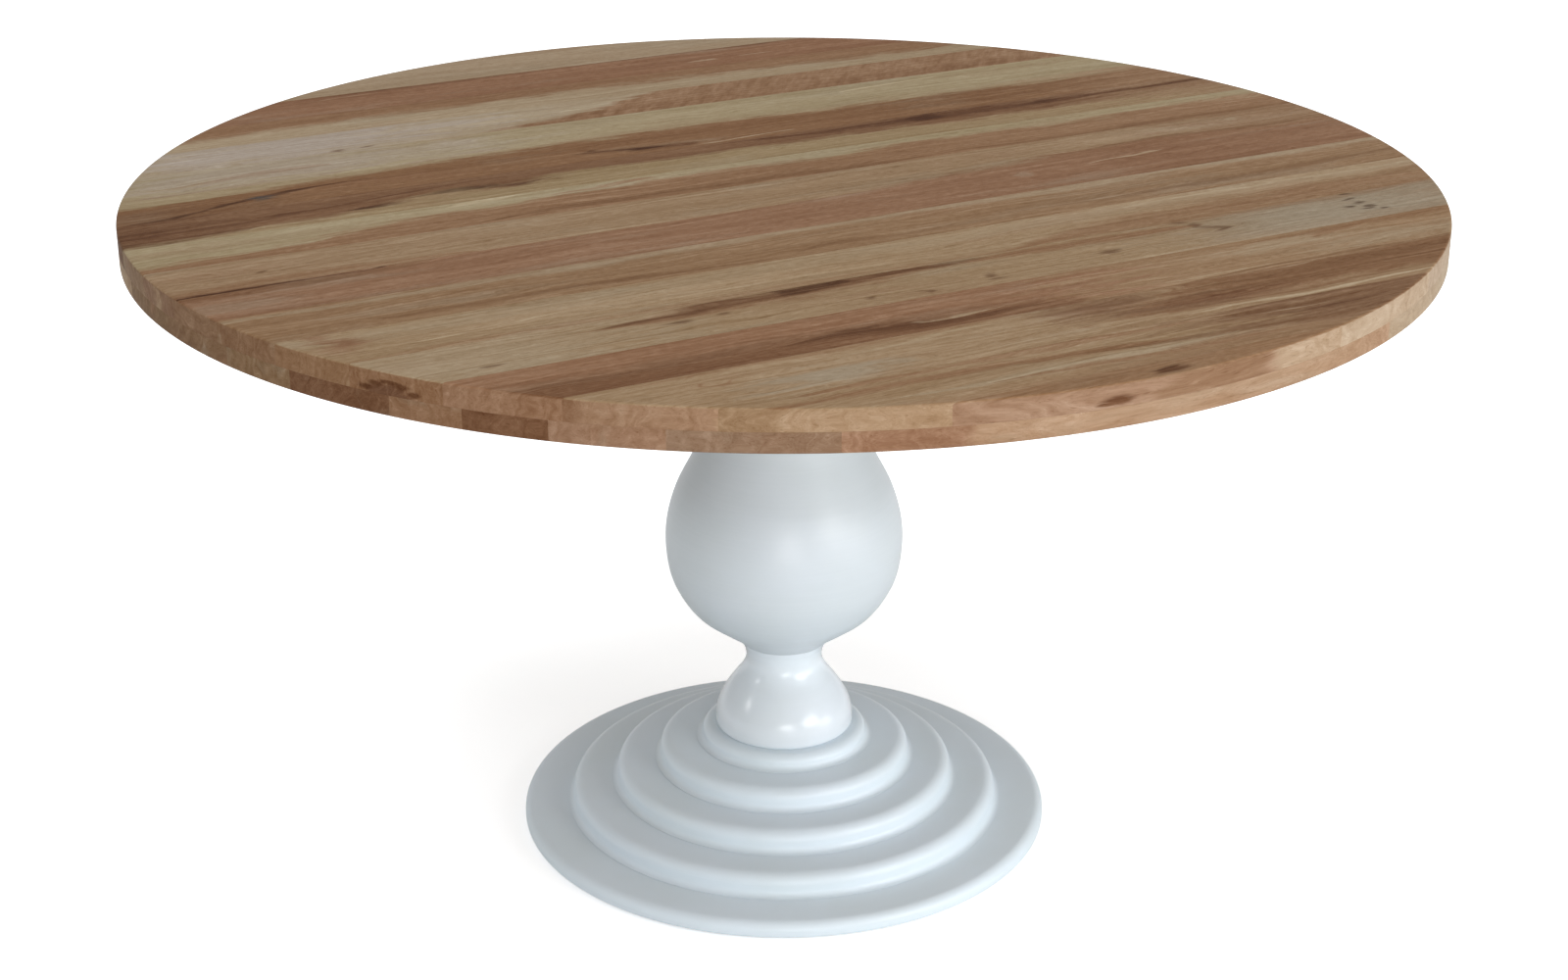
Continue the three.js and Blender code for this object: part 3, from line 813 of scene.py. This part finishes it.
def zinc(name, seed):
    """Zinc-plated steel with a faint spangle and handling marks."""
    f = Finish(name)
    grain = f.noise(f.place, (380, 380, 380), 3.0, 0.6, seed)
    smear = f.noise(f.place, (90, 90, 90), 2.0, 0.5, seed + 1)
    colour = f.mix(grain, (0.50, 0.52, 0.53, 1), (0.70, 0.71, 0.70, 1))
    colour = f.mix(f.step(smear, 0.5, 0.75, 0.0, 0.5), colour, (0.55, 0.50, 0.38, 1))
    rough = f.total((grain, 0.25), (smear, 0.20))
    f.set(Base_Color=colour, Roughness=f.math("ADD", rough, 0.36), Metallic=1.0)
    f.bump(grain, 0.0001, 0.3)
    return f.material


def powder_coat(name, seed):
    """Black powder coat over steel, finely pebbled and rubbed here and there."""
    f = Finish(name)
    pebble = f.noise(f.place, (900, 900, 900), 2.0, 0.5, seed)
    rub = f.noise(f.place, (24, 24, 24), 4.0, 0.65, seed + 1)
    colour = f.mix(f.step(rub, 0.45, 0.8), (0.020, 0.021, 0.023, 1), (0.060, 0.060, 0.058, 1))
    rough = f.total((pebble, 0.12), (rub, 0.25))
    f.set(Base_Color=colour, Roughness=f.math("ADD", rough, 0.48), Specular_IOR_Level=0.5)
    f.bump(f.total((pebble, 1.0)), 0.00015, 0.6)
    return f.material


def moulded_plastic(name, seed):
    """Black moulded plastic with a fine spark texture and scuffs underneath."""
    f = Finish(name)
    spark = f.noise(f.place, (1500, 1500, 1500), 2.0, 0.6, seed)
    scuff = f.noise(f.place, (160, 700, 60), 3.0, 0.6, seed + 1)
    colour = f.mix(f.step(scuff, 0.52, 0.75), (0.017, 0.018, 0.020, 1), (0.085, 0.083, 0.080, 1))
    rough = f.total((spark, 0.15), (scuff, 0.25))
    f.set(Base_Color=colour, Roughness=f.math("ADD", rough, 0.55), Specular_IOR_Level=0.4)
    f.bump(spark, 0.0001, 0.5)
    return f.material


# ---------------- the top

RIM_RADIUS = 699.9
RIM_EASE = 2.4
SEAM = 0.12  # taken back from the gap that CAD leaves between pieces
PLATING = 0.05  # how far a screw's head lies inside the CAD solid's


def rim_levels(bottom, top, ease_bottom, ease_top):
    """(radius, height) up a layer's rim, with eased outer edges."""
    inner = RIM_RADIUS - RIM_EASE - 2
    corners = [
        (inner, bottom, 0),
        (RIM_RADIUS, bottom, ease_bottom),
        (RIM_RADIUS, top, ease_top),
        (inner, top, 0),
    ]
    return eased(corners, 5)


def add_boards():
    for prefix, table in (("top_board", TOP_BOARDS), ("under_board", UNDER_BOARDS)):
        is_top = prefix == "top_board"
        last = len(table)
        for number, (tone, marks) in table.items():
            node = f"{prefix}_{number:02d}"
            low, high = grain_span(node)
            low -= 0 if number == 1 else SEAM
            high += 0 if number == last else SEAM
            bottom, top = heights(node)
            if is_top:
                levels = rim_levels(bottom - SEAM, top, 0, RIM_EASE)
            else:
                levels = rim_levels(bottom, top + SEAM, RIM_EASE, 0)
            seed = number + (0 if is_top else 40)
            material = wood(f"wood_{node}", tone, marks, seed, relief=is_top)
            table_piece(node, "oiled", board_mesh(low, high, levels), material)


def recessed_head(radius, height, seat, tip, shank, centre):
    """A pan-head screw that points up: its head hangs below seat, with a hexagon socket."""
    socket = radius * 0.42
    outline = [
        (0, seat - height * 0.35),
        (socket, seat - height * 0.35, hexagon),
        (socket, seat - height * 0.97, hexagon),
        (socket * 1.12, seat - height, hexagon),
        (radius * 0.62, seat - height),
        (radius * 0.84, seat - height * 0.86),
        (radius * 0.96, seat - height * 0.6),
        (radius, seat - height * 0.3),
        (radius, seat),
        (shank, seat),
        (shank, tip - shank),
        (shank * 0.3, tip),
        (0, tip),
    ]
    return turned(outline, 24, centre)


# Screws: count, head radius, head height and shank radius.
SCREWS = {"batten_screw": (6, 5.5, 3.4, 2.6), "top_plate_screw": (4, 7, 4.4, 3.5)}


def add_fittings():
    steel = zinc("steel_zinc", 71)
    coat = powder_coat("steel_black", 72)
    table_piece("top_plate", "coated", softened("top_plate", 0.7), coat)
    for side in ("left", "right"):
        node = f"batten_{side}"
        tone, marks = BATTEN_WOOD
        material = wood(f"wood_{node}", tone, marks, 90 + len(side), GRAIN + math.pi / 2, relief=False)
        table_piece(node, "oiled", softened(node, 1.6, 3), material)
    for prefix, (count, radius, height, shank) in SCREWS.items():
        for i in range(1, count + 1):
            node = f"{prefix}_{i}"
            bottom, tip = heights(node)
            screw = recessed_head(
                radius - PLATING, height, bottom + height, tip, shank, middle_of(node)
            )
            table_piece(node, "plated", screw, steel)


# ---------------- the column and the base

BULB_OUTLINE = [
    (50, 218.5), (61.2, 228.5), (82.6, 244), (105, 262), (121.4, 286), (130.6, 310), (134.3, 342),
    (132, 372), (122.4, 405), (107, 436), (89.5, 468), (74, 502), (64, 540), (59, 580), (59, 615),
    (63, 648), (72, 676), (84, 694),
]
BELL_OUTLINE = [
    (77.2, 112.3), (79, 115.5), (79.2, 121), (78.2, 131), (74.2, 143.5), (67, 156.5), (58.3, 169),
    (50, 180), (44.8, 190.5), (43.6, 199), (45, 207.5), (47.4, 213.5), (49.8, 218.2),
]
GAP = 0.3  # that CAD leaves between pieces
ROD_BORE = 7.5
TENON_BELL = 26
TENON_BULB = 20
TENON_BULB_LENGTH = 22
BOSS_POCKET = (16, 21)  # radius and depth of the hollow for the top plate's boss
CAP = (85.9, 697)  # the column's flat-sided head: radius, and where it starts
SOCKET_BELL = TENON_BELL + GAP
ROD_RADIUS = 5.9
NUT_BORE = 6.4
NUT_FLAT = 9  # from the nut's axis to a flat
WASHER_RADIUS = 19.9
PAD_RADIUS = 19.9
PAD_HEIGHT = 8
UNDERSIDE = None  # stands for a disc's lower face
# Each glued disc: outer radius, nose radius, and the hollow down its middle, from the top, as
# (radius, floor).
STEPS = {
    "base_step_1": (95, 11, [(SOCKET_BELL, UNDERSIDE)]),
    "base_step_2": (144, 13, [(SOCKET_BELL, 92), (ROD_BORE, UNDERSIDE)]),
    "base_step_3": (194, 13, [(ROD_BORE, UNDERSIDE)]),
    "base_step_4": (246, 13, [(ROD_BORE, 26.6), (231, UNDERSIDE)]),
    "base_brim": (304, 11, [(45, UNDERSIDE)]),
}
COVE = 7
COVE_LIP = 0.4  # height of the upright edge under a cove
PAINT_INSET = 0.1  # how far the brim's face lies inside the CAD solid's
PAD_POCKET = (21.5, 8.3)  # radius and roof of the pocket for a foot's pad
STEM_HOLE = (6.5, 40)  # the same for its stem's hole


def add_column():
    bottom, top = heights("column_bulb")
    shoulder = BULB_OUTLINE[0][1]
    pocket, depth = BOSS_POCKET
    outline = [
        (ROD_BORE, bottom), (TENON_BULB, bottom), (TENON_BULB, shoulder),
        *flowing(BULB_OUTLINE),
        *eased([(*CAP, 1), (CAP[0], top, 1.2), (pocket, top, 0)]),
        (pocket, top - depth), (ROD_BORE, top - depth),
    ]
    bulb = turned(outline, 192)
    # painted shade: the bulb's whites are scaled darker than the bell's and the base's, though it is the
    # same white lacquer
    paint = lacquer("lacquer_bulb", 11, 0.36, shade=(0.735, 0.735, 0.72))
    table_piece("column_bulb", "lacquered", bulb, paint)

    bottom, top = heights("column_bell")
    socket, floor = TENON_BULB + GAP, shoulder - (TENON_BULB_LENGTH + GAP)
    outline = [
        (ROD_BORE, bottom), (TENON_BELL, bottom), (TENON_BELL, BELL_OUTLINE[0][1]),
        *flowing(BELL_OUTLINE),
        (socket, top), (socket, floor), (ROD_BORE, floor),
    ]
    bell = turned(outline, 160)
    paint = lacquer("lacquer_bell", 23, 0.22, 0.3, (0.98, 0.97, 0.955))
    table_piece("column_bell", "lacquered", bell, paint)


def step_outline(radius, nose, hollow, bottom, top, is_brim):
    """A disc's outline: cove at the foot, upright riser, round nose, flat tread, then the hollow."""
    tread = radius - nose - 3
    if is_brim:
        radius -= PAINT_INSET
        outline = eased([(0, bottom, 0), (radius, bottom, 2.5), (radius, top, 0)], 4)[1:-1]
    else:
        lip = bottom + COVE_LIP
        outline = [(radius + COVE, bottom), (radius + COVE, lip)]
        for i in range(1, 9):
            angle = math.radians(270 - 90 * i / 8)
            outline.append((
                radius + COVE + COVE * math.cos(angle), lip + COVE + COVE * math.sin(angle)
            ))
    for i in range(13):
        angle = math.radians(90 * i / 12)
        outline.append((
            radius - nose + nose * math.cos(angle), top - nose + nose * math.sin(angle)
        ))
    outline.append((tread, top))
    height = top
    for bore, floor in hollow:
        floor = bottom if floor is UNDERSIDE else floor
        outline += [(bore, height), (bore, floor)]
        height = floor
    return outline


def foot_pockets():
    """What is cut out of the discs for the four feet: a pocket for the pad, a hole for the stem."""
    bm = bmesh.new()
    outline = [
        (0, -5), (PAD_POCKET[0], -5), PAD_POCKET,
        (STEM_HOLE[0], PAD_POCKET[1]), STEM_HOLE, (0, STEM_HOLE[1]),
    ]
    for i in range(1, 5):
        turned(outline, 48, middle_of(f"levelling_foot_{i}"), bm)
    return bm


def add_base():
    for i, (node, (radius, nose, hollow)) in enumerate(STEPS.items()):
        bottom, top = heights(node)
        disc = turned(step_outline(radius, nose, hollow, bottom, top, node == "base_brim"), 256)
        if bottom < STEM_HOLE[1]:
            disc = bored(disc, foot_pockets())
        paint = lacquer(f"lacquer_{node}", 31 + i, 0.33, shade=(1.0, 1.025, 1.02))
        table_piece(node, "lacquered", disc, paint)

    coat = powder_coat("steel_black_base", 81)
    steel = zinc("steel_zinc_base", 82)
    table_piece("base_plate", "coated", softened("base_plate", 0.6), coat)

    low, high = heights("tie_rod")
    tip = ROD_RADIUS - 1
    rod = [
        (0, low), (tip, low), (ROD_RADIUS, low + 1),
        (ROD_RADIUS, high - 1), (tip, high), (0, high),
    ]
    table_piece("tie_rod", "plated", turned(rod, 48), steel)
    low, high = heights("tie_rod_washer")
    ring = eased([
        (NUT_BORE, low, 0.3), (WASHER_RADIUS, low, 0.6),
        (WASHER_RADIUS, high, 0.6), (NUT_BORE, high, 0.3),
    ], 3)
    table_piece("tie_rod_washer", "plated", turned(ring, 64), steel)
    low, high = heights("tie_rod_nut")
    nut = [
        (NUT_BORE, low + 0.8), (7.2, low), (8.8, low), (NUT_FLAT, low + 1.2, hexagon),
        (NUT_FLAT, high - 1.2, hexagon), (8.8, high), (7.2, high), (NUT_BORE, high - 0.8),
    ]
    table_piece("tie_rod_nut", "plated", turned(nut, 48), steel, 25)


def add_feet():
    plastic = moulded_plastic("foot_moulding", 91)
    steel = zinc("foot_stem_zinc", 92)
    for i in range(1, 5):
        node = f"levelling_foot_{i}"
        centre = middle_of(node)
        bottom, stem_top = heights(node)
        sole = bottom + 0.6
        top = bottom + PAD_HEIGHT
        pad = eased([
            (0, sole, 0), (15.5, sole, 0.3), (16, bottom, 0.2), (PAD_RADIUS, bottom, 1.5),
            (PAD_RADIUS, bottom + 2.2, 1), (PAD_RADIUS - 3, top, 1),
            (5.2, top, 0), (5.2, top - 1, 0), (0, top - 1, 0),
        ], 3)
        piece(f"foot_pad_{i}", node, node, turned(pad, 48, centre), plastic)
        stem = threaded(4.95, top - 0.8, stem_top, 1.5, 0.8, centre)
        piece(f"foot_stem_{i}", node, node, stem, steel, 60)


# ---------------- floor, light and camera

FLOOR_SIZE = 30
SHADOW_LIFT = 0.5  # what the floor gives out, to the camera alone
WORLD_LIGHT = 0.53  # the world's strength as a light; as the background it is 1
WHITE = (1, 1, 1)
# Place, target, size, power and colour.
AREA_LIGHTS = {
    "key": ((2.6, -2.4, 1.15), (0, 0, 0.5), (1.6, 1.2), 44, (0.98, 0.99, 1.0)),
    "front": ((0.3, -3.1, 0.75), (0, 0, 0.4), (1.2, 0.6), 14, WHITE),
    "side": ((2.9, -0.9, 0.45), (0, 0, 0.2), (1.2, 0.6), 10, WHITE),
}
# Place, target, degrees across and power, for what the top keeps the other lights from.
SPOT_LIGHTS = {
    "neck_fill": ((0.3, -3.1, 0.7), (0, 0, 0.52), 8, 150),
    "base_fill_left": ((-2.3, -0.5, 1.15), (-0.3, 0.06, 0.02), 12, 52),
    "base_fill_right": ((2.3, -0.6, 1.15), (0.29, 0.02, 0.02), 9, 22),
}
CAMERA_PLACE = (0, -2.770, 1.534)
CAMERA_DIP = 22.25  # degrees below the horizontal
CAMERA_LENS = 61


def pale_floor(name):
    """Matt and nearly white, its shadows lifted where they are seen."""
    f = Finish(name)
    seen = f.node("LightPath").outputs["Is Camera Ray"]
    f.set(
        Base_Color=(0.95, 0.965, 0.975, 1), Roughness=0.9,
        Emission_Color=(*WHITE, 1), Emission_Strength=f.times(seen, SHADOW_LIFT),
    )
    return f.material


def add_floor():
    bm = bmesh.new()
    bmesh.ops.create_grid(bm, x_segments=2, y_segments=2, size=FLOOR_SIZE)
    mesh = bpy.data.meshes.new("floor")
    bm.to_mesh(mesh)
    bm.free()
    mesh.materials.append(pale_floor("floor_pale"))
    add_object("floor", mesh)


def add_world():
    """A pale backdrop, dimmer as a light than it looks."""
    world = bpy.data.worlds.new("studio")
    bpy.context.scene.world = world
    world.use_nodes = True
    tree = world.node_tree
    backdrop = tree.nodes["Background"]
    backdrop.inputs["Color"].default_value = (0.97, 0.985, 1.0, 1)
    rays = tree.nodes.new("ShaderNodeLightPath")
    strength = tree.nodes.new("ShaderNodeMapRange")
    strength.inputs["To Min"].default_value = WORLD_LIGHT
    strength.inputs["To Max"].default_value = 1.0
    tree.links.new(rays.outputs["Is Camera Ray"], strength.inputs["Value"])
    tree.links.new(strength.outputs[0], backdrop.inputs["Strength"])


def studio_light(name, kind, place, target, power):
    data = bpy.data.lights.new(name, kind)
    data.energy = power
    lamp = add_object(name, data)
    lamp.location = place
    lamp.rotation_euler = (Vector(target) - Vector(place)).to_track_quat("-Z", "Y").to_euler()
    return data


def add_lights():
    for name, (place, target, size, power, colour) in AREA_LIGHTS.items():
        area = studio_light(name, "AREA", place, target, power)
        area.shape = "RECTANGLE"
        area.size, area.size_y = size
        area.color = colour
    sun = studio_light("overhead", "SUN", (0.06, -0.15, 1), (0, 0, 0), 1.54)
    sun.angle = math.radians(60)
    for name, (place, target, width, power) in SPOT_LIGHTS.items():
        spot = studio_light(name, "SPOT", place, target, power)
        spot.spot_size = math.radians(width)
        spot.spot_blend = 1.0
        spot.shadow_soft_size = 0.25


def add_camera():
    scene = bpy.context.scene
    scene.view_settings.view_transform = "Standard"
    scene.view_settings.look = "None"
    data = bpy.data.cameras.new("view")
    data.sensor_width = 36
    data.lens = CAMERA_LENS
    data.clip_end = 200
    camera = add_object("view", data)
    camera.location = CAMERA_PLACE
    camera.rotation_euler = (math.radians(90 - CAMERA_DIP), 0, 0)
    scene.camera = camera


add_boards()
add_fittings()
add_column()
add_base()
add_feet()
add_floor()
add_world()
add_lights()
add_camera()
